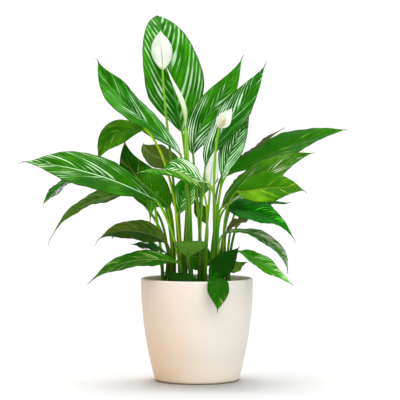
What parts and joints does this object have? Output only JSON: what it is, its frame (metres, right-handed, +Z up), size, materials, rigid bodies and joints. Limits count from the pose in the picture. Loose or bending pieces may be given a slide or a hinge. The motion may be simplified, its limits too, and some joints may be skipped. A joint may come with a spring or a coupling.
{
  "type": "potted peace lily",
  "caption": "Potted peace lily: a clump of long-stalked pointed leaves and white spathe flowers standing in soil in a plain tapered cream cover pot.",
  "frame": {"origin": "middle of the pot's flat underside, where it stands on the floor", "axes": "+Z up; the picture looks along +Y, so -Y is the plant's front and +X its right"},
  "size_m": [0.5652, 0.3748, 0.6587],
  "materials": {
    "pot": "satin",
    "soil": "matte",
    "leaf_bright": "satin",
    "leaf_mid": "satin",
    "leaf_dark": "satin",
    "leaf_olive": "satin",
    "leaf_young": "satin",
    "scape": "satin",
    "spathe": "satin",
    "spadix": "matte"
  },
  "bodies": {
    "root": {"leaf_top": "leaf_bright", "leaf_left_high": "leaf_bright", "leaf_left_arched": "leaf_mid", "leaf_left_long": "leaf_mid", "leaf_left_far": "leaf_dark", "leaf_left_hanging": "leaf_olive", "leaf_left_dark": "leaf_dark", "leaf_left_olive": "leaf_olive", "leaf_centre_upper": "leaf_bright", "leaf_centre_lower": "leaf_bright", "leaf_right_peak": "leaf_bright", "leaf_right_bright": "leaf_bright", "leaf_right_inner": "leaf_mid", "leaf_right_long": "leaf_mid", "leaf_right_under": "leaf_mid", "leaf_right_strip": "leaf_olive", "leaf_right_young": "leaf_young", "leaf_right_dark": "leaf_dark", "leaf_right_small": "leaf_mid", "leaf_right_drooping": "leaf_bright", "leaf_right_olive": "leaf_olive", "leaf_low_right": "leaf_mid", "leaf_low_dark": "leaf_dark", "leaf_low_olive": "leaf_olive", "leaf_front_rim": "leaf_mid", "leaf_left_brown": "leaf_olive", "leaf_left_shade": "leaf_dark", "leaf_low_left": "leaf_mid", "leaf_low_front": "leaf_dark", "leaf_front_grey": "leaf_mid", "leaf_stem_grey": "leaf_dark", "leaf_stem_brown": "leaf_olive", "leaf_stem_small": "leaf_mid", "leaf_back_right": "leaf_mid", "leaf_back_middle": "leaf_mid", "leaf_back_left": "leaf_mid", "leaf_back_low_right": "leaf_dark", "leaf_back_low_left": "leaf_dark", "leaf_back_low_middle": "leaf_dark", "scape_back_view": "scape", "spathe_back_view": "spathe", "spadix_back_view": "spadix", "scape_rolled": "scape", "spathe_rolled": "spathe", "scape_open": "scape", "spathe_open": "spathe", "spadix_open": "spadix", "scape_low": "scape", "spathe_low": "spathe", "spadix_low": "spadix", "pot": "pot", "soil": "soil"}
  },
  "joints": []
}
